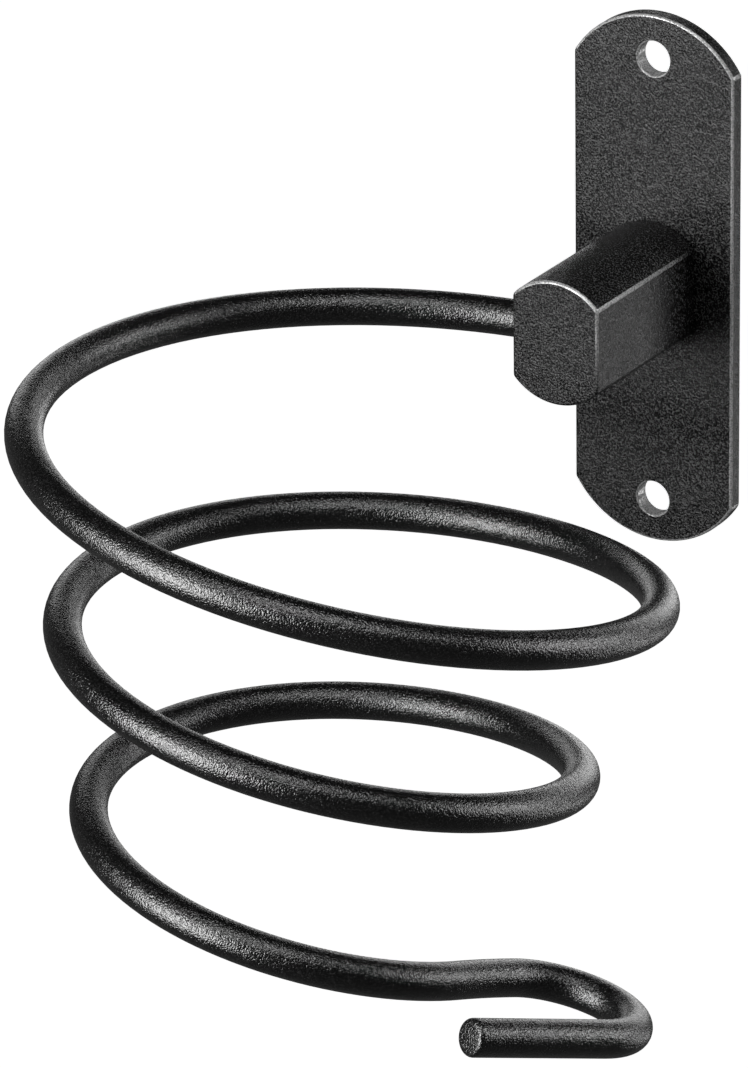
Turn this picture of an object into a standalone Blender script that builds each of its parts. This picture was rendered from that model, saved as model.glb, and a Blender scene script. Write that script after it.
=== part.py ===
"""Wall-mounted spiral holder for a hair dryer.

A flat wall plate carries a short stand-off block. A bent steel rod leaves the block's left flat, winds down
as an open cone that takes the dryer's barrel, and ends in a hook for the cord.

The origin is the centre of the plate's back face, on the wall. +Z is up, +Y points into the wall, and the
holder stands out towards -Y. All sizes are in metres and all angles in radians.
"""

import math

import bmesh
import bpy
from mathutils import Matrix, Vector

# Room left between two neighbouring solids
GAP = 0.0003

# Wall plate: a flat bar whose two ends are cut to a large arc
PLATE_WIDTH = 0.030
PLATE_HEIGHT = 0.093
PLATE_THICKNESS = 0.003
PLATE_END_RADIUS = 0.0175
PLATE_EDGE_ROUNDING = 0.0003
WALL_SCREW_HOLE = 0.006
WALL_SCREW_SPACING = 0.078

# Stand-off block: a round bar with a flat milled along each side
BLOCK_DIAMETER = 0.0215
BLOCK_ACROSS_FLATS = 0.016
BLOCK_FRONT = 0.035
BLOCK_EDGE_ROUNDING = 0.0005

# Joint between the plate and the block: two M4 countersunk screws from behind
JOINT_SCREW_SPACING = 0.012
JOINT_SCREW_DIAMETER = 0.004
JOINT_SCREW_LENGTH = 0.012
JOINT_HEAD_DIAMETER = 0.0076
JOINT_SOCKET_ACROSS_FLATS = 0.0025
JOINT_SOCKET_DEPTH = 0.0014

# Spiral rod: 6 mm round bar with its powder coat
ROD_DIAMETER = 0.0062
ROD_SETBACK = 0.007
ROD_SPIGOT = 0.011
ROD_ENTRY_TURN = 4.5 / 360

# Coil of the spiral rod. Its radius shrinks by COIL_TAPER in the first turn and by less in each later one.
# It falls by COIL_FALL in the first turn, eases in the second and steepens again towards the hook.
COIL_TURNS = 2.7096
COIL_TOP_RADIUS = 0.0577
COIL_TAPER = 0.0112
COIL_TAPER_EASE = 0.00098
COIL_FALL = 0.0349
COIL_FALL_EASE = 0.0031
COIL_FALL_REGAIN = 0.0007
COIL_LEAN_LEFT = math.radians(4.9)
COIL_LEAN_FORWARD = math.radians(7)

# Hook at the rod's lower end: a slight swing outward, a half turn and a straight leg
SWING_RADIUS = 0.100
SWING_ANGLE = math.radians(7.4)
HOOK_RADIUS = 0.0119
HOOK_ANGLE = math.radians(182.7)
HOOK_LEG = 0.0274
HOOK_TWIST = math.radians(5.8)

# Grub screw that locks the rod, in the block's underside
GRUB_DIAMETER = 0.005
GRUB_RECESS = 0.0006
GRUB_SOCKET_ACROSS_FLATS = 0.0025
GRUB_SOCKET_DEPTH = 0.0025

# How finely round shapes are divided
ARC_STEPS = 24
ROUND_SIDES = 32
COIL_STEPS_PER_TURN = 48
BEND_STEPS = 16
ROD_BEVEL_RESOLUTION = 4
WELD_DISTANCE = 0.00001

# Directions
UP = Vector((0, 0, 1))
TO_WALL = Vector((0, 1, 0))

BLACK_COAT = {"colour": (0.018, 0.018, 0.019), "roughness": 0.5, "metallic": 0.0}
ZINC_STEEL = {"colour": (0.62, 0.63, 0.64), "roughness": 0.35, "metallic": 1.0}


# ---- Blender helpers ----------------------------------------------------------------------------------------


def clear_scene():
    for thing in list(bpy.data.objects):
        bpy.data.objects.remove(thing, do_unlink=True)


def make_collection(name):
    collection = bpy.data.collections.new(name)
    bpy.context.scene.collection.children.link(collection)
    return collection


def add_object(name, data, collection, matrix=None):
    thing = bpy.data.objects.new(name, data)
    collection.objects.link(thing)
    if matrix is not None:
        thing.matrix_world = matrix
    return thing


def paint(thing, finish):
    """Gives a piece its own material."""
    material = bpy.data.materials.new(thing.name + "_finish")
    material.use_nodes = True
    shader = material.node_tree.nodes["Principled BSDF"]
    shader.inputs["Base Color"].default_value = (*finish["colour"], 1)
    shader.inputs["Roughness"].default_value = finish["roughness"]
    shader.inputs["Metallic"].default_value = finish["metallic"]
    thing.data.materials.append(material)
    thing.data.shade_smooth()
    thing.data.set_sharp_from_angle(angle=math.radians(35))


def curve_to_mesh(thing, collection):
    """Replaces a curve object by the mesh that it draws, with its caps welded on."""
    bpy.context.view_layer.update()
    evaluated = thing.evaluated_get(bpy.context.evaluated_depsgraph_get())
    mesh = bpy.data.meshes.new_from_object(evaluated)
    shape = bmesh.new()
    shape.from_mesh(mesh)
    bmesh.ops.remove_doubles(shape, verts=shape.verts, dist=WELD_DISTANCE)
    shape.to_mesh(mesh)
    shape.free()
    name = thing.name
    matrix = thing.matrix_world.copy()
    bpy.data.objects.remove(thing, do_unlink=True)
    return add_object(name, mesh, collection, matrix)


def prism(name, outline, back, front, collection):
    """A flat outline in X and Z, extruded from y = -back to y = -front."""
    curve = bpy.data.curves.new(name, "CURVE")
    curve.dimensions = "2D"
    curve.fill_mode = "BOTH"
    curve.extrude = (front - back) / 2
    spline = curve.splines.new("POLY")
    spline.points.add(len(outline) - 1)
    for point, (x, z) in zip(spline.points, outline):
        point.co = (x, z, 0, 1)
    spline.use_cyclic_u = True
    stand_up = Matrix.Rotation(math.pi / 2, 4, "X")
    place = Matrix.Translation(Vector((0, -(back + front) / 2, 0)))
    return curve_to_mesh(add_object(name, curve, collection, place @ stand_up), collection)


def turned(name, profile, matrix, collection, sides=ROUND_SIDES):
    """A turned solid. The profile gives (radius, height) from its top to its bottom, on the outer side."""
    mesh = bpy.data.meshes.new(name)
    points = [(radius, 0, height) for radius, height in profile]
    mesh.from_pydata(points, [(i, i + 1) for i in range(len(points) - 1)], [])
    thing = add_object(name, mesh, collection, matrix)
    screw = thing.modifiers.new("turn", "SCREW")
    screw.axis = "Z"
    screw.steps = sides
    screw.render_steps = sides
    screw.use_merge_vertices = True
    screw.merge_threshold = WELD_DISTANCE
    return thing


def round_edges(thing, width, segments=2):
    bevel = thing.modifiers.new("round edges", "BEVEL")
    bevel.width = width
    bevel.segments = segments
    bevel.limit_method = "ANGLE"
    bevel.angle_limit = math.radians(30)


def cut(thing, cutter):
    """Cuts one solid out of a piece, and keeps the cutter as a wire guide."""
    cutter.hide_render = True
    cutter.display_type = "WIRE"
    boolean = thing.modifiers.new("cut " + cutter.name, "BOOLEAN")
    boolean.operation = "DIFFERENCE"
    boolean.solver = "EXACT"
    boolean.object = cutter


def pointing(direction, base):
    """A placement that takes local +Z to a direction, with its origin at base."""
    return Matrix.Translation(base) @ direction.to_track_quat("Z", "Y").to_matrix().to_4x4()


def cylinder_profile(radius, length):
    """The profile of a cylinder from height 0 to a length."""
    return [(0, length), (radius, length), (radius, 0), (0, 0)]


def hexagon_radius(across_flats):
    return across_flats / math.sqrt(3)


# ---- The shapes' geometry -----------------------------------------------------------------------------------


def arched_outline(half_width, radius, arc_height):
    """Two upright sides joined by an arc above and an arc below, centred arc_height above and below 0."""
    reach = math.asin(half_width / radius)
    angles = [reach - 2 * reach * step / ARC_STEPS for step in range(ARC_STEPS + 1)]
    upper = [(radius * math.sin(a), arc_height + radius * math.cos(a)) for a in angles]
    lower = [(-x, -z) for x, z in upper]
    return upper + lower


def upright_coil_point(turn):
    """A point on the coil before it leans. Turn 0 is rearmost, and the coil winds to the left and down."""
    angle = math.pi / 2 + 2 * math.pi * turn
    radius = COIL_TOP_RADIUS - COIL_TAPER * turn + COIL_TAPER_EASE * turn**2
    fall = COIL_FALL * turn - COIL_FALL_EASE * turn**2 + COIL_FALL_REGAIN * turn**3
    return Vector((radius * math.cos(angle), radius * math.sin(angle), -fall))


def coil_lean():
    """The coil leans to the left, so that the rod leaves the block almost level, and forward."""
    return Matrix.Rotation(-COIL_LEAN_FORWARD, 3, "X") @ Matrix.Rotation(COIL_LEAN_LEFT, 3, "Y")


def rod_exit():
    """Where the rod's centre line comes out of the block's left flat."""
    return Vector((-BLOCK_ACROSS_FLATS / 2, -(BLOCK_FRONT - ROD_SETBACK), 0))


def coil_point(turn):
    from_entry = upright_coil_point(turn) - upright_coil_point(ROD_ENTRY_TURN)
    return rod_exit() + coil_lean() @ from_entry


def coil_heading(turn):
    step = 0.0001
    return (coil_point(turn + step) - coil_point(turn - step)).normalized()


def bend(start, heading, axis, radius, angle):
    """Points along an arc that turns a heading about an axis, and the heading at its end."""
    centre = start + axis.cross(heading) * radius
    turns = [Matrix.Rotation(angle * step / BEND_STEPS, 3, axis) for step in range(1, BEND_STEPS + 1)]
    return [centre + turn @ (start - centre) for turn in turns], turns[-1] @ heading


def hook_points():
    """The swing outward, the half turn and the straight leg, all in one plane."""
    start = coil_point(COIL_TURNS)
    heading = coil_heading(COIL_TURNS)
    down = (heading * heading.dot(UP) - UP).normalized()
    axis = Matrix.Rotation(HOOK_TWIST, 3, heading) @ down
    swing, heading = bend(start, heading, axis, SWING_RADIUS, SWING_ANGLE)
    half_turn, heading = bend(swing[-1], heading, axis, HOOK_RADIUS, HOOK_ANGLE)
    return swing + half_turn + [half_turn[-1] + heading * HOOK_LEG]


def rod_path():
    """The rod's centre line, from the end of its spigot in the block to the hook's tip."""
    spigot = rod_exit() - coil_heading(ROD_ENTRY_TURN) * ROD_SPIGOT
    steps = round((COIL_TURNS - ROD_ENTRY_TURN) * COIL_STEPS_PER_TURN)
    length = COIL_TURNS - ROD_ENTRY_TURN
    coil = [coil_point(ROD_ENTRY_TURN + length * step / steps) for step in range(steps + 1)]
    return [spigot] + coil + hook_points()


# ---- The pieces ---------------------------------------------------------------------------------------------


def make_wall_plate(parts, cutters):
    arc_height = PLATE_HEIGHT / 2 - PLATE_END_RADIUS
    outline = arched_outline(PLATE_WIDTH / 2, PLATE_END_RADIUS, arc_height)
    plate = prism("wall_plate", outline, 0, PLATE_THICKNESS, parts)
    round_edges(plate, PLATE_EDGE_ROUNDING)
    through = PLATE_THICKNESS * 2
    for place, side in (("upper", 1), ("lower", -1)):
        base = Vector((0, -through * 0.75, side * WALL_SCREW_SPACING / 2))
        profile = cylinder_profile(WALL_SCREW_HOLE / 2, through)
        cut(plate, turned(f"wall_hole_{place}", profile, pointing(TO_WALL, base), cutters))
        cut(plate, make_countersink(place, side, cutters))
    paint(plate, BLACK_COAT)


def joint_screw_place(side):
    """A joint screw's origin, at the centre of its head's face, with its shank along local -Z."""
    face = Vector((0, -GAP, side * JOINT_SCREW_SPACING / 2))
    return pointing(TO_WALL, face)


def make_countersink(place, side, cutters):
    """The plate's clearance for one joint screw: a 90 degree cone that opens at the back face."""
    shank = JOINT_SCREW_DIAMETER / 2 + GAP
    head = JOINT_HEAD_DIAMETER / 2 + GAP
    cone = head - shank
    above = 2 * GAP
    profile = [(0, above), (head, above), (head, -GAP), (shank, -GAP - cone)]
    profile += [(shank, -2 * PLATE_THICKNESS), (0, -2 * PLATE_THICKNESS)]
    return turned(f"countersink_{place}", profile, joint_screw_place(side), cutters)


def make_joint_screw(place, side, parts, cutters):
    shank = JOINT_SCREW_DIAMETER / 2
    head = JOINT_HEAD_DIAMETER / 2
    profile = [(0, 0), (head, 0), (head, -GAP), (shank, -GAP - (head - shank))]
    profile += [(shank, -JOINT_SCREW_LENGTH), (0, -JOINT_SCREW_LENGTH)]
    screw = turned(f"block_screw_{place}", profile, joint_screw_place(side), parts)
    socket_profile = cylinder_profile(hexagon_radius(JOINT_SOCKET_ACROSS_FLATS), 2 * JOINT_SOCKET_DEPTH)
    socket_place = joint_screw_place(side) @ Matrix.Translation((0, 0, -JOINT_SOCKET_DEPTH))
    cut(screw, turned(f"screw_socket_{place}", socket_profile, socket_place, cutters, 6))
    paint(screw, ZINC_STEEL)


def make_standoff_block(parts, cutters):
    outline = arched_outline(BLOCK_ACROSS_FLATS / 2, BLOCK_DIAMETER / 2, 0)
    block = prism("standoff_block", outline, PLATE_THICKNESS + GAP, BLOCK_FRONT, parts)
    round_edges(block, BLOCK_EDGE_ROUNDING)
    depth = JOINT_SCREW_LENGTH + 4 * GAP
    for place, side in (("upper", 1), ("lower", -1)):
        base = Vector((0, -depth, side * JOINT_SCREW_SPACING / 2))
        profile = cylinder_profile(JOINT_SCREW_DIAMETER / 2 + GAP, depth)
        cut(block, turned(f"thread_hole_{place}", profile, pointing(TO_WALL, base), cutters))
    rod_bore = cylinder_profile(ROD_DIAMETER / 2 + GAP, 2 * ROD_SPIGOT)
    heading = coil_heading(ROD_ENTRY_TURN)
    bore_end = rod_exit() - heading * (ROD_SPIGOT + GAP)
    cut(block, turned("rod_bore", rod_bore, pointing(heading, bore_end), cutters))
    grub_bore = cylinder_profile(GRUB_DIAMETER / 2 + GAP, BLOCK_DIAMETER / 2)
    cut(block, turned("grub_bore", grub_bore, pointing(-UP, grub_centre(0)), cutters))
    paint(block, BLACK_COAT)


def make_spiral_rod(parts):
    path = rod_path()
    curve = bpy.data.curves.new("spiral_rod", "CURVE")
    curve.dimensions = "3D"
    curve.bevel_depth = ROD_DIAMETER / 2
    curve.bevel_resolution = ROD_BEVEL_RESOLUTION
    curve.use_fill_caps = True
    spline = curve.splines.new("POLY")
    spline.points.add(len(path) - 1)
    for point, place in zip(spline.points, path):
        point.co = (*place, 1)
    rod = curve_to_mesh(add_object("spiral_rod", curve, parts), parts)
    paint(rod, BLACK_COAT)


def grub_centre(height):
    """A point on the grub screw's axis, which crosses the rod's spigot in the middle of the block."""
    heading = coil_heading(ROD_ENTRY_TURN)
    crossing = rod_exit() - heading * (rod_exit().x / heading.x)
    return Vector((crossing.x, crossing.y, height))


def make_grub_screw(parts, cutters):
    bottom = -BLOCK_DIAMETER / 2 + GRUB_RECESS
    top = -ROD_DIAMETER / 2 - GAP
    profile = cylinder_profile(GRUB_DIAMETER / 2, top - bottom)
    grub = turned("rod_grub_screw", profile, Matrix.Translation(grub_centre(bottom)), parts)
    socket_profile = cylinder_profile(hexagon_radius(GRUB_SOCKET_ACROSS_FLATS), 2 * GRUB_SOCKET_DEPTH)
    socket_place = Matrix.Translation(grub_centre(bottom - GRUB_SOCKET_DEPTH))
    cut(grub, turned("grub_socket", socket_profile, socket_place, cutters, 6))
    paint(grub, ZINC_STEEL)


def main():
    clear_scene()
    parts = make_collection("hair_dryer_holder")
    cutters = make_collection("cutters")
    make_wall_plate(parts, cutters)
    make_standoff_block(parts, cutters)
    for place, side in (("upper", 1), ("lower", -1)):
        make_joint_screw(place, side, parts, cutters)
    make_spiral_rod(parts)
    make_grub_screw(parts, cutters)


main()
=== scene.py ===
"""The looks of the wall-mounted spiral hair dryer holder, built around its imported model.

Everything is in metres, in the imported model's frame: the origin is the centre of the wall plate's back
face, +Z is up and +Y points into the wall.
"""

import math

import bmesh
import bpy
from mathutils import Matrix, Vector


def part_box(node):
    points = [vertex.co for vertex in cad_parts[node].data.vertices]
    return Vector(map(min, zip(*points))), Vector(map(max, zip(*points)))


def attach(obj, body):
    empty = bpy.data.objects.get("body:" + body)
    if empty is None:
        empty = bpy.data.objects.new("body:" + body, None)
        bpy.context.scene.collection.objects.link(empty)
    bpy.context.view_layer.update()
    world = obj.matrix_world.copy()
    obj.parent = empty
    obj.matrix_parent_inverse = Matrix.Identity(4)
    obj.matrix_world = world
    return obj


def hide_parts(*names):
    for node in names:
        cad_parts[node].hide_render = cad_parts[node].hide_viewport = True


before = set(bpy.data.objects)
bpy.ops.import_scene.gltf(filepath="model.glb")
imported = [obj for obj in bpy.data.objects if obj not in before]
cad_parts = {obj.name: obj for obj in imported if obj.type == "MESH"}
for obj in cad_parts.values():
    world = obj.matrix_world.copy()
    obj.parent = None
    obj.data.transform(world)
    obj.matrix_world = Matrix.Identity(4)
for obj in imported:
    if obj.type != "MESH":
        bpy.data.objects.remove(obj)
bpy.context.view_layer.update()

UP = Vector((0, 0, 1))
TO_WALL = Vector((0, 1, 0))

# ---- Sizes read from the frame -------------------------------------------------------------------

plate_low, plate_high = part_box("wall_plate")
block_low, block_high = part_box("standoff_block")
screw_low, screw_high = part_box("block_screw_upper")
grub_low, grub_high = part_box("rod_grub_screw")

PLATE_HALF_WIDTH = plate_high.x
PLATE_HALF_HEIGHT = plate_high.z
PLATE_THICKNESS = -plate_low.y
BLOCK_HALF_FLATS = block_high.x
BLOCK_RADIUS = block_high.z
BLOCK_FRONT = -block_low.y
SCREW_HEIGHT = (screw_low.z + screw_high.z) / 2
SCREW_HEAD_RADIUS = screw_high.x
SCREW_TOP = -screw_high.y
SCREW_TIP = -screw_low.y
GRUB_RADIUS = grub_high.x

# ---- Sizes that repeat part.py's, because the frame holds no numbers for them --------------------

PLATE_END_RADIUS = 0.0175
WALL_SCREW_HOLE = 0.006
WALL_SCREW_SPACING = 0.078
SCREW_DIAMETER = 0.004

ROD_RADIUS = 0.0031
ROD_SETBACK = 0.007
ROD_SPIGOT = 0.011
ROD_ENTRY_TURN = 4.5 / 360
COIL_TURNS = 2.7096
COIL_TOP_RADIUS = 0.0577
COIL_TAPER = 0.0112
COIL_TAPER_EASE = 0.00098
COIL_FALL = 0.0349
COIL_FALL_EASE = 0.0031
COIL_FALL_REGAIN = 0.0007
COIL_LEAN_LEFT = math.radians(4.9)
COIL_LEAN_FORWARD = math.radians(7)
SWING_RADIUS = 0.100
SWING_ANGLE = math.radians(7.4)
HOOK_RADIUS = 0.0119
HOOK_ANGLE = math.radians(182.7)
HOOK_LEG = 0.0274
HOOK_TWIST = math.radians(5.8)

# ---- Finish sizes that only the looks need -------------------------------------------------------

# The radius of each kind of rounded edge
PLATE_EDGE = 0.00045
BLOCK_EDGE = 0.0005
HOLE_RIM = 0.0004
ROD_TIP_EDGE = 0.0008

# The gap round a piece that sits inside another, and how far a cutter reaches past the face that it cuts
SNUG = 0.00004
CUTTER_REACH = 0.001
FLARE_REACH = 0.00001

# How finely curves are divided, and how close two points are when they are welded into one
ROD_SIDES = 48
COIL_STEPS_PER_TURN = 110
BEND_STEPS = 36
ARC_STEPS = 48
ROUND_SIDES = 64
EDGE_SEGMENTS = 6
WELD = 0.000005

# The least angle between two faces whose edge is rounded, and the least at which shading stays sharp
ROUNDED_ANGLE = math.radians(30)
SHARP_ANGLE = math.radians(35)
ROD_SHARP_ANGLE = math.radians(40)

# The outermost faces of a hole's flare lie this close to the plate's own face, and aren't part of its rim
FLUSH_ANGLE = math.radians(8)

# The rounded edges' material index while a piece is made, and the attribute that marks them afterwards,
# which places the painted highlight
RIM = 1
RIM_ATTRIBUTE = "rim"

# ---- The powder coat -----------------------------------------------------------------------------

# The noises' scales: a sandy grain, a faint orange peel, and slow clouds in the gloss
GRAIN_SCALE = 3450
PEEL_SCALE = 420
CLOUD_SCALE = 60

# The relief's depth, the orange peel's share of it, and how far the roughness varies either way
RELIEF = 0.00014
PEEL_SHARE = 0.6
GLOSS_SPREAD = 0.07
GLOSS_NOISE = (0.7, 1.3)

# The darkest base colour, and the grain's heights between which it rises to the palest specks
DARKEST_BLACK = 0.0008
SPECK_HEIGHTS = (0.48, 0.78)

# How strongly the painted highlight shows in specks along the marked rims, from the grain's dips to its
# peaks
PAINTED_HIGHLIGHT_HEIGHTS = (0.35, 0.62)
PAINTED_HIGHLIGHT_AMOUNTS = (0.25, 1.0)

# The looks of a rim where its painted highlight is strongest: less relief, lower roughness, and a pale,
# partly metallic colour that paints the highlight
RIM_RELIEF = 0.2
RIM_ROUGHNESS = 0.13
RIM_HIGHLIGHT_METALLIC = 0.4
RIM_HIGHLIGHT_GREY = 0.26

# ---- The zinc ------------------------------------------------------------------------------------

ZINC_GRAIN_SCALE = 3500
ZINC_RELIEF = 0.00003
ZINC_RELIEF_STRENGTH = 0.15
ZINC_CLOUD_SCALE = 500
ZINC_CLOUDS = (0.3, 0.7)
ZINC_ROUGHNESS = (0.24, 0.4)
ZINC_DARK = (0.50, 0.51, 0.53, 1)
ZINC_LIGHT = (0.68, 0.69, 0.70, 1)

# ---- The camera ----------------------------------------------------------------------------------

IMAGE_WIDTH = 748
IMAGE_HEIGHT = 1068
CAMERA_AZIMUTH = math.radians(32.07)
CAMERA_ELEVATION = math.radians(23.29)
CAMERA_DISTANCE = 1.2734
CAMERA_ACROSS = -0.04833
CAMERA_UP = -0.04211
CAMERA_ROLL = math.radians(-0.84)
CAMERA_PIXELS_PER_METRE = 6036.9
SENSOR_WIDTH = 36.0
CLIP_START = 0.05
CLIP_END = 100

# ---- The studio ----------------------------------------------------------------------------------

STUDIO_CENTRE = Vector((0, -0.08, -0.03))
FLOOR_DROP = 2.6
FLOOR_REACH = 60.0

# How bright the room is that the holder reflects, straight up and straight down
ROOM_FILL = 0.01
FLOOR_FILL = 0.14

# Each soft light's azimuth (0 is the front) and elevation in degrees, distance, width, height and watts
SOFT_LIGHTS = {
    "key_light": (-24, 11, 0.60, 0.31, 0.52, 12.8),
    "top_light": (38, 63, 0.80, 0.44, 0.34, 5.0),
    "side_light": (127, 15, 0.80, 0.40, 0.46, 5.6),
    "low_light": (150, -24, 0.80, 0.24, 0.22, 0.9),
    "back_light": (192, 0, 0.90, 0.50, 0.44, 1.6),
    "left_light": (225, 3, 0.48, 0.18, 0.13, 0.14),
}


# ---- Mesh helpers --------------------------------------------------------------------------------


def link(name, data, matrix=None):
    """Adds an object to the scene, made of a mesh, a light or a camera."""
    thing = bpy.data.objects.new(name, data)
    bpy.context.scene.collection.objects.link(thing)
    if matrix is not None:
        thing.matrix_world = matrix
    return thing


def apply_modifiers(thing):
    """Gives an object the mesh that its modifiers make, in the row frame, and clears them."""
    bpy.context.view_layer.update()
    evaluated = thing.evaluated_get(bpy.context.evaluated_depsgraph_get())
    mesh = bpy.data.meshes.new_from_object(evaluated)
    mesh.transform(thing.matrix_world)
    thing.modifiers.clear()
    thing.data = mesh
    thing.matrix_world = Matrix.Identity(4)
    return thing


def prism(name, outline, back, front):
    """A flat outline in X and Z, extruded from y = -back to y = -front, with room for the RIM index."""
    shape = bmesh.new()
    face = shape.faces.new([shape.verts.new((x, -back, z)) for x, z in outline])
    grown = bmesh.ops.extrude_face_region(shape, geom=[face])["geom"]
    moved = [item for item in grown if isinstance(item, bmesh.types.BMVert)]
    bmesh.ops.translate(shape, vec=(0, back - front, 0), verts=moved)
    bmesh.ops.recalc_face_normals(shape, faces=shape.faces)
    mesh = bpy.data.meshes.new(name)
    shape.to_mesh(mesh)
    shape.free()
    for _ in range(RIM + 1):
        mesh.materials.append(None)
    return link(name, mesh)


def turned(name, profile, matrix):
    """A solid of revolution. Its profile gives (radius, height) from the top down, on the outer side."""
    mesh = bpy.data.meshes.new(name)
    points = [(radius, 0, height) for radius, height in profile]
    mesh.from_pydata(points, [(i, i + 1) for i in range(len(points) - 1)], [])
    thing = link(name, mesh, matrix)
    screw = thing.modifiers.new("turn", "SCREW")
    screw.axis = "Z"
    screw.steps = ROUND_SIDES
    screw.render_steps = ROUND_SIDES
    screw.use_merge_vertices = True
    screw.merge_threshold = WELD
    return apply_modifiers(thing)


def cut(thing, cutter):
    """Cuts a solid out of a piece and removes the solid."""
    boolean = thing.modifiers.new("cut", "BOOLEAN")
    boolean.operation = "DIFFERENCE"
    boolean.solver = "EXACT"
    boolean.object = cutter
    apply_modifiers(thing)
    bpy.data.objects.remove(cutter, do_unlink=True)


def round_edges(thing, width):
    """Rounds a piece's edges and marks the new faces RIM."""
    bevel = thing.modifiers.new("round edges", "BEVEL")
    bevel.width = width
    bevel.segments = EDGE_SEGMENTS
    bevel.limit_method = "ANGLE"
    bevel.angle_limit = ROUNDED_ANGLE
    bevel.use_clamp_overlap = False
    bevel.material = RIM
    apply_modifiers(thing)


def mark_rims(thing, left, back=math.inf, lowest=-math.inf):
    """Turns RIM faces into a point attribute, 1 in the middle of a rim and 0 past the three limits. The
    attribute places a painted highlight, and the limits keep it to the rims where the highlights fall.
    """
    mesh = thing.data
    places = [vertex.co for vertex in mesh.vertices]
    inside = [float(place.x > left and place.y < back and place.z > lowest) for place in places]
    for face in mesh.polygons:
        if face.material_index != RIM:
            for corner in face.vertices:
                inside[corner] = 0.0
        face.material_index = 0
    mesh.attributes.new(RIM_ATTRIBUTE, "FLOAT", "POINT").data.foreach_set("value", inside)


def smooth_with_flat_faces(thing):
    """Shades rounded stretches smooth and leaves the large flats flat."""
    thing.data.shade_smooth()
    thing.data.set_sharp_from_angle(angle=SHARP_ANGLE)
    weighted = thing.modifiers.new("weighted normals", "WEIGHTED_NORMAL")
    weighted.keep_sharp = True
    apply_modifiers(thing)


def pointing(direction, base):
    """A placement that takes local +Z to a direction, with its origin at base."""
    return Matrix.Translation(base) @ direction.to_track_quat("Z", "Y").to_matrix().to_4x4()


def cylinder_profile(radius, length):
    """A cylinder's profile, from its own origin up."""
    return [(0, length), (radius, length), (radius, 0), (0, 0)]


def rimmed_hole_profile(radius, depth, rim):
    """The cutter of a hole through a plate, flared at both faces so that it rounds the hole's rims."""
    start = depth + FLARE_REACH - rim
    quarter = [math.pi / 2 * step / EDGE_SEGMENTS for step in range(EDGE_SEGMENTS + 1)]
    flare = [(radius + rim - rim * math.sin(t), start + rim * math.cos(t)) for t in quarter]
    mirrored = [(width, depth - height) for width, height in reversed(flare)]
    above = [(0, depth + rim), (radius + rim, depth + rim)]
    below = [(radius + rim, -rim), (0, -rim)]
    return above + flare + mirrored + below


def arched_outline(half_width, radius, arc_height):
    """Two upright sides joined by an arc above and one below, centred arc_height above and below 0."""
    reach = math.asin(half_width / radius)
    angles = [reach - 2 * reach * step / ARC_STEPS for step in range(ARC_STEPS + 1)]
    upper = [(radius * math.sin(a), arc_height + radius * math.cos(a)) for a in angles]
    lower = [(-x, -z) for x, z in upper]
    return upper + lower


# ---- The rod's route -----------------------------------------------------------------------------


def upright_coil_point(turn):
    """A point on the coil before it leans. Turn 0 is rearmost, and the coil winds to the left and down."""
    angle = math.pi / 2 + 2 * math.pi * turn
    radius = COIL_TOP_RADIUS - COIL_TAPER * turn + COIL_TAPER_EASE * turn**2
    fall = COIL_FALL * turn - COIL_FALL_EASE * turn**2 + COIL_FALL_REGAIN * turn**3
    return Vector((radius * math.cos(angle), radius * math.sin(angle), -fall))


def coil_lean():
    """The turn that leans the upright coil forward and to the left."""
    return Matrix.Rotation(-COIL_LEAN_FORWARD, 3, "X") @ Matrix.Rotation(COIL_LEAN_LEFT, 3, "Y")


def rod_exit():
    """Where the rod's centre line leaves the block's left flat."""
    return Vector((-BLOCK_HALF_FLATS, -(BLOCK_FRONT - ROD_SETBACK), 0))


def coil_point(turn):
    """A point on the leaning coil, which starts where the rod leaves the block."""
    from_entry = upright_coil_point(turn) - upright_coil_point(ROD_ENTRY_TURN)
    return rod_exit() + coil_lean() @ from_entry


def coil_heading(turn):
    """The direction in which the rod runs at a point of its coil."""
    small = 0.0001
    return (coil_point(turn + small) - coil_point(turn - small)).normalized()


def bend(start, heading, axis, radius, angle):
    """Points along an arc that turns a heading about an axis, and the heading at its end."""
    centre = start + axis.cross(heading) * radius
    turns = [Matrix.Rotation(angle * step / BEND_STEPS, 3, axis) for step in range(1, BEND_STEPS + 1)]
    return [centre + turn @ (start - centre) for turn in turns], turns[-1] @ heading


def rod_path():
    """The rod's centre line, from the end of its spigot in the block to the hook's tip."""
    spigot = rod_exit() - coil_heading(ROD_ENTRY_TURN) * ROD_SPIGOT
    turns = COIL_TURNS - ROD_ENTRY_TURN
    steps = round(turns * COIL_STEPS_PER_TURN)
    coil = [coil_point(ROD_ENTRY_TURN + turns * step / steps) for step in range(steps + 1)]
    heading = coil_heading(COIL_TURNS)
    down = (heading * heading.dot(UP) - UP).normalized()
    axis = Matrix.Rotation(HOOK_TWIST, 3, heading) @ down
    swing, heading = bend(coil[-1], heading, axis, SWING_RADIUS, SWING_ANGLE)
    half_turn, heading = bend(swing[-1], heading, axis, HOOK_RADIUS, HOOK_ANGLE)
    return [spigot] + coil + swing + half_turn + [half_turn[-1] + heading * HOOK_LEG]


def path_rings(path, radius):
    """A (place, heading, side, radius) for each point of a path, with no twist between neighbours."""
    before = [path[0]] + path[:-1]
    after = path[1:] + [path[-1]]
    headings = [(end - start).normalized() for start, end in zip(before, after)]
    side = headings[0].orthogonal().normalized()
    rings = []
    for place, heading in zip(path, headings):
        side = (side - heading * side.dot(heading)).normalized()
        rings.append((place, heading, side, radius))
    return rings


def tip_rings(ring, way, edge):
    """Rings that round the rim of an end face, from the full width in to the flat."""
    place, heading, side, radius = ring
    rings = []
    for step in range(EDGE_SEGMENTS + 1):
        angle = math.pi / 2 * step / EDGE_SEGMENTS
        along = way * edge * (math.sin(angle) - 1)
        rings.append((place + heading * along, heading, side, radius - edge * (1 - math.cos(angle))))
    return rings


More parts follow.
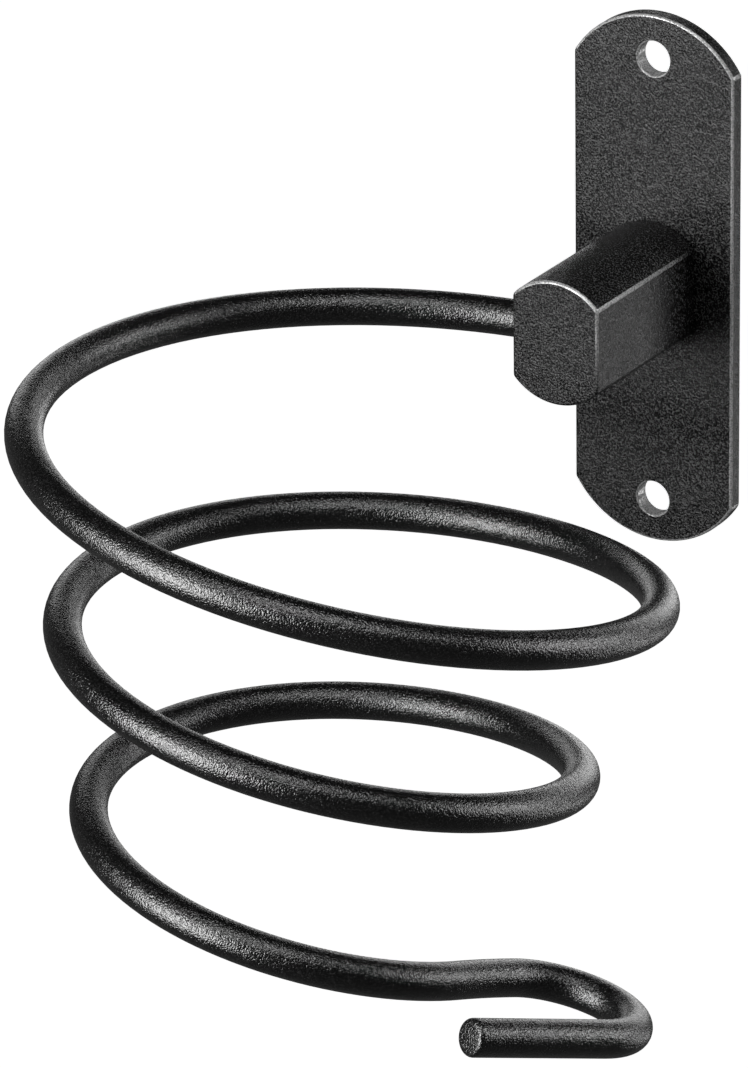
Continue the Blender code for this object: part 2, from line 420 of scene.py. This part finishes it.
def tube(name, path, radius, tip_edge):
    """A round bar along a path, with its two end faces' rims rounded."""
    rings = path_rings(path, radius)
    rings = tip_rings(rings[0], -1, tip_edge)[::-1] + rings[1:-1] + tip_rings(rings[-1], 1, tip_edge)
    angles = [2 * math.pi * k / ROD_SIDES for k in range(ROD_SIDES)]
    shape = bmesh.new()
    loops = []
    for place, heading, side, width in rings:
        other = heading.cross(side)
        ways = [side * math.cos(a) + other * math.sin(a) for a in angles]
        loops.append([shape.verts.new(place + way * width) for way in ways])
    for first, second in zip(loops, loops[1:]):
        for k in range(ROD_SIDES):
            n = (k + 1) % ROD_SIDES
            shape.faces.new((first[k], first[n], second[n], second[k]))
    shape.faces.new(loops[0][::-1])
    shape.faces.new(loops[-1])
    bmesh.ops.recalc_face_normals(shape, faces=shape.faces)
    mesh = bpy.data.meshes.new(name)
    shape.to_mesh(mesh)
    shape.free()
    return link(name, mesh)


# ---- Materials -----------------------------------------------------------------------------------


class Nodes:
    """A small wrapper for building a material's node tree."""

    def __init__(self, name):
        self.material = bpy.data.materials.new(name)
        self.material.use_nodes = True
        self.tree = self.material.node_tree
        self.shader = self.tree.nodes["Principled BSDF"]

    def add(self, kind, **inputs):
        """A shader node with some inputs set. An underscore stands for a space in an input's name."""
        node = self.tree.nodes.new("ShaderNode" + kind)
        for key, value in inputs.items():
            node.inputs[key.replace("_", " ")].default_value = value
        return node

    def add_ramp(self, positions, colours):
        """A colour ramp with two stops."""
        node = self.add("ValToRGB")
        for stop, position, colour in zip(node.color_ramp.elements, positions, colours):
            stop.position = position
            stop.color = colour
        return node

    def link(self, source, target):
        self.tree.links.new(source, target)

    def math(self, operation, *values):
        """A math node on sockets and plain numbers, in order."""
        node = self.tree.nodes.new("ShaderNodeMath")
        node.operation = operation
        for socket, value in zip(node.inputs, values):
            if isinstance(value, (int, float)):
                socket.default_value = value
            else:
                self.link(value, socket)
        return node.outputs["Value"]


def grey(level):
    """An opaque grey."""
    return (level, level, level, 1)


def noise(nodes, scale, detail=2.0, roughness=0.5):
    """A noise over the object's own coordinates."""
    node = nodes.add("TexNoise", Scale=scale, Detail=detail, Roughness=roughness)
    nodes.link(nodes.add("TexCoord").outputs["Object"], node.inputs["Vector"])
    return node.outputs["Fac"]


def mapped(nodes, value, old, new):
    """A value carried over in a straight line from one range to another."""
    node = nodes.add("MapRange", From_Min=old[0], From_Max=old[1], To_Min=new[0], To_Max=new[1])
    nodes.link(value, node.inputs["Value"])
    return node.outputs["Result"]


def powder_coat(name, shine, roughness, speck):
    """Satin black powder coat with a fine sandy grain. Along the marked rims it is smoother, and a painted
    highlight lies there in pale, partly metallic specks.
    """
    nodes = Nodes(name)
    grain = noise(nodes, GRAIN_SCALE, detail=1.0)
    peel = noise(nodes, PEEL_SCALE)
    clouds = noise(nodes, CLOUD_SCALE)
    rim = nodes.add("Attribute")
    rim.attribute_name = RIM_ATTRIBUTE
    # The painted highlight's mask: the marked rims, broken into specks by the grain
    highlight_specks = mapped(nodes, grain, PAINTED_HIGHLIGHT_HEIGHTS, PAINTED_HIGHLIGHT_AMOUNTS)
    painted_highlight = nodes.math("MULTIPLY", rim.outputs["Fac"], highlight_specks)

    bump = nodes.add("Bump", Distance=RELIEF)
    nodes.link(mapped(nodes, painted_highlight, (0, 1), (1, RIM_RELIEF)), bump.inputs["Strength"])
    nodes.link(nodes.math("MULTIPLY_ADD", peel, PEEL_SHARE, grain), bump.inputs["Height"])
    nodes.link(bump.outputs["Normal"], nodes.shader.inputs["Normal"])

    spread = (roughness - GLOSS_SPREAD, roughness + GLOSS_SPREAD)
    coat_roughness = mapped(nodes, nodes.math("ADD", clouds, grain), GLOSS_NOISE, spread)
    highlight_roughness = nodes.math("MULTIPLY_ADD", painted_highlight, RIM_ROUGHNESS - roughness, coat_roughness)
    nodes.link(highlight_roughness, nodes.shader.inputs["Roughness"])

    black = nodes.add_ramp(SPECK_HEIGHTS, (grey(DARKEST_BLACK), grey(speck)))
    # Painted highlight: the marked rims turn pale grey and partly metallic
    highlight_colour = nodes.add("Mix")
    highlight_colour.data_type = "RGBA"
    highlight_colour.inputs["B"].default_value = grey(RIM_HIGHLIGHT_GREY)
    nodes.link(grain, black.inputs["Fac"])
    nodes.link(painted_highlight, highlight_colour.inputs["Factor"])
    nodes.link(black.outputs["Color"], highlight_colour.inputs["A"])
    nodes.link(highlight_colour.outputs["Result"], nodes.shader.inputs["Base Color"])
    nodes.link(nodes.math("MULTIPLY", painted_highlight, RIM_HIGHLIGHT_METALLIC), nodes.shader.inputs["Metallic"])
    nodes.shader.inputs["Specular IOR Level"].default_value = shine
    return nodes.material


def zinc_steel():
    """Bright zinc plated steel with a fine grain and a slightly uneven gloss."""
    nodes = Nodes("zinc_steel")
    grain = noise(nodes, ZINC_GRAIN_SCALE, detail=3.0, roughness=0.6)
    clouds = noise(nodes, ZINC_CLOUD_SCALE)
    bump = nodes.add("Bump", Strength=ZINC_RELIEF_STRENGTH, Distance=ZINC_RELIEF)
    nodes.link(grain, bump.inputs["Height"])
    nodes.link(bump.outputs["Normal"], nodes.shader.inputs["Normal"])
    nodes.link(mapped(nodes, clouds, ZINC_CLOUDS, ZINC_ROUGHNESS), nodes.shader.inputs["Roughness"])
    colour = nodes.add_ramp((0, 1), (ZINC_DARK, ZINC_LIGHT))
    nodes.link(clouds, colour.inputs["Fac"])
    nodes.link(colour.outputs["Color"], nodes.shader.inputs["Base Color"])
    nodes.shader.inputs["Metallic"].default_value = 1.0
    return nodes.material


def finish_piece(thing, material, node):
    """Coats a detailed piece and puts it in the place of its CAD node."""
    thing.data.materials.clear()
    thing.data.materials.append(material)
    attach(thing, "root")
    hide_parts(node)


# ---- The pieces ----------------------------------------------------------------------------------


def screw_place(side):
    """The middle of a block screw's head, facing the wall."""
    return pointing(TO_WALL, Vector((0, -SCREW_TOP, side * SCREW_HEIGHT)))


def countersink_profile():
    """The cutter of a block screw's countersunk hole, from past its head to past the plate's front."""
    shank = SCREW_DIAMETER / 2 + SNUG
    head = SCREW_HEAD_RADIUS + SNUG
    through = -2 * PLATE_THICKNESS
    above = [(0, CUTTER_REACH), (head, CUTTER_REACH)]
    return above + [(head, 0), (shank, shank - head), (shank, through), (0, through)]


def wall_screw_hole(side):
    """The cutter of one wall screw's hole, whose wall and flares are marked RIM, so that the hole's wall and
    rounded rims take the painted highlight.
    """
    profile = rimmed_hole_profile(WALL_SCREW_HOLE / 2, PLATE_THICKNESS, HOLE_RIM)
    centre = Vector((0, 0, side * WALL_SCREW_SPACING / 2))
    hole = turned("hole", profile, pointing(-TO_WALL, centre))
    for face in hole.data.polygons:
        if abs(face.normal.dot(TO_WALL)) < math.cos(FLUSH_ANGLE):
            face.material_index = RIM
    return hole


def make_wall_plate(material):
    """The plate, with its two wall screw holes and the countersinks of the block's screws."""
    arc_height = PLATE_HALF_HEIGHT - PLATE_END_RADIUS
    outline = arched_outline(PLATE_HALF_WIDTH, PLATE_END_RADIUS, arc_height)
    plate = prism("coated_wall_plate", outline, 0, PLATE_THICKNESS)
    round_edges(plate, PLATE_EDGE)
    for side in (1, -1):
        cut(plate, wall_screw_hole(side))
        cut(plate, turned("countersink", countersink_profile(), screw_place(side)))
    # The painted highlight goes on the plate's rims and hole walls, but not on its left edges
    mark_rims(plate, plate_low.x + PLATE_EDGE)
    smooth_with_flat_faces(plate)
    finish_piece(plate, material, "wall_plate")


def make_standoff_block(material):
    """The block, with the bores of its two screws, the rod's spigot and the grub screw."""
    outline = arched_outline(BLOCK_HALF_FLATS, BLOCK_RADIUS, 0)
    block = prism("coated_standoff_block", outline, PLATE_THICKNESS + SNUG, BLOCK_FRONT)
    round_edges(block, BLOCK_EDGE)
    screw_bore = cylinder_profile(SCREW_DIAMETER / 2 + SNUG, SCREW_TIP)
    for side in (1, -1):
        base = Vector((0, -SCREW_TIP - SNUG, side * SCREW_HEIGHT))
        cut(block, turned("screw_bore", screw_bore, pointing(TO_WALL, base)))
    heading = coil_heading(ROD_ENTRY_TURN)
    bore_end = rod_exit() - heading * (ROD_SPIGOT + SNUG)
    rod_bore = cylinder_profile(ROD_RADIUS + SNUG, 2 * ROD_SPIGOT)
    cut(block, turned("rod_bore", rod_bore, pointing(heading, bore_end)))
    grub_bore = cylinder_profile(GRUB_RADIUS + SNUG, BLOCK_RADIUS)
    grub_middle = (grub_low + grub_high) / 2
    grub_start = Vector((grub_middle.x, grub_middle.y, 0))
    cut(block, turned("grub_bore", grub_bore, pointing(-UP, grub_start)))
    corner_height = math.sqrt(BLOCK_RADIUS**2 - BLOCK_HALF_FLATS**2)
    left = block_low.x + BLOCK_EDGE
    # The painted highlight goes on the block's front rims, not on its left ones, its back half or its
    # underside
    mark_rims(block, left, back=-BLOCK_FRONT / 2, lowest=BLOCK_EDGE - corner_height)
    smooth_with_flat_faces(block)
    finish_piece(block, material, "standoff_block")


def make_spiral_rod(material):
    """The rod's spigot, coil, hook and leg, in one bar."""
    rod = tube("coated_spiral_rod", rod_path(), ROD_RADIUS, ROD_TIP_EDGE)
    rod.data.shade_smooth()
    rod.data.set_sharp_from_angle(angle=ROD_SHARP_ANGLE)
    finish_piece(rod, material, "spiral_rod")


def finish_screws(material):
    """The screws stay the CAD nodes, with a better material."""
    for node in ("block_screw_upper", "block_screw_lower", "rod_grub_screw"):
        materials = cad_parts[node].data.materials
        materials.clear()
        materials.append(material)


# ---- Camera, light and floor ---------------------------------------------------------------------


def direction(azimuth, elevation):
    """The way towards an azimuth, which is 0 in front and grows to the right, and an elevation."""
    level = math.cos(elevation)
    return Vector((math.sin(azimuth) * level, -math.cos(azimuth) * level, math.sin(elevation)))


def make_camera():
    """Places the camera by its azimuth, elevation and distance, moved across and up the view, and rolled."""
    back = direction(CAMERA_AZIMUTH, CAMERA_ELEVATION)
    across = Vector((math.cos(CAMERA_AZIMUTH), math.sin(CAMERA_AZIMUTH), 0))
    above = back.cross(across)
    data = bpy.data.cameras.new("camera")
    data.sensor_width = SENSOR_WIDTH
    pixels = CAMERA_PIXELS_PER_METRE * CAMERA_DISTANCE
    data.lens = pixels * SENSOR_WIDTH / max(IMAGE_WIDTH, IMAGE_HEIGHT)
    data.clip_start = CLIP_START
    data.clip_end = CLIP_END
    turn = Matrix((across, above, back)).transposed() @ Matrix.Rotation(CAMERA_ROLL, 3, "Z")
    place = back * CAMERA_DISTANCE + across * CAMERA_ACROSS + above * CAMERA_UP
    bpy.context.scene.camera = link("camera", data, Matrix.Translation(place) @ turn.to_4x4())


def soft_light(name, azimuth, elevation, distance, width, height, watts):
    """A rectangular soft light that faces the holder."""
    way = direction(math.radians(azimuth), math.radians(elevation))
    data = bpy.data.lights.new(name, "AREA")
    data.shape = "RECTANGLE"
    data.size = width
    data.size_y = height
    data.energy = watts
    light = link(name, data, pointing(way, STUDIO_CENTRE + way * distance))
    light.visible_camera = False


def make_floor():
    """A white floor, far enough below the holder to take no shadow from it."""
    mesh = bpy.data.meshes.new("studio_floor")
    square = ((-1, -1), (1, -1), (1, 1), (-1, 1))
    corners = [(x * FLOOR_REACH, y * FLOOR_REACH, -FLOOR_DROP) for x, y in square]
    mesh.from_pydata(corners, [], [(0, 1, 2, 3)])
    floor = link("studio_floor", mesh)
    nodes = Nodes("studio_white")
    nodes.shader.inputs["Base Color"].default_value = grey(0.9)
    nodes.shader.inputs["Roughness"].default_value = 0.9
    nodes.shader.inputs["Emission Color"].default_value = grey(1)
    nodes.shader.inputs["Emission Strength"].default_value = 1.0
    floor.data.materials.append(nodes.material)
    floor.visible_glossy = False
    floor.visible_diffuse = False


def make_room():
    """A room that the camera sees white and the holder reflects dim."""
    world = bpy.data.worlds.new("studio")
    bpy.context.scene.world = world
    world.use_nodes = True
    tree = world.node_tree
    background = tree.nodes["Background"]
    way = tree.nodes.new("ShaderNodeTexCoord")
    height = tree.nodes.new("ShaderNodeSeparateXYZ")
    fill = tree.nodes.new("ShaderNodeMapRange")
    fill.inputs["From Min"].default_value = -1.0
    fill.inputs["To Min"].default_value = FLOOR_FILL
    fill.inputs["To Max"].default_value = ROOM_FILL
    tree.links.new(way.outputs["Generated"], height.inputs["Vector"])
    tree.links.new(height.outputs["Z"], fill.inputs["Value"])
    path = tree.nodes.new("ShaderNodeLightPath")
    strength = tree.nodes.new("ShaderNodeMapRange")
    strength.inputs["To Max"].default_value = 1.0
    tree.links.new(path.outputs["Is Camera Ray"], strength.inputs["Value"])
    tree.links.new(fill.outputs["Result"], strength.inputs["To Min"])
    tree.links.new(strength.outputs["Result"], background.inputs["Strength"])
    background.inputs["Color"].default_value = grey(1)


def make_studio():
    make_room()
    make_floor()
    for name, settings in SOFT_LIGHTS.items():
        soft_light(name, *settings)
    bpy.context.scene.view_settings.view_transform = "Standard"


make_camera()
flat_coat = powder_coat("black_powder_coat_flat", shine=0.11, roughness=0.20, speck=0.040)
rod_coat = powder_coat("black_powder_coat_rod", shine=0.47, roughness=0.22, speck=0.008)
make_wall_plate(flat_coat)
make_standoff_block(flat_coat)
make_spiral_rod(rod_coat)
finish_screws(zinc_steel())
make_studio()
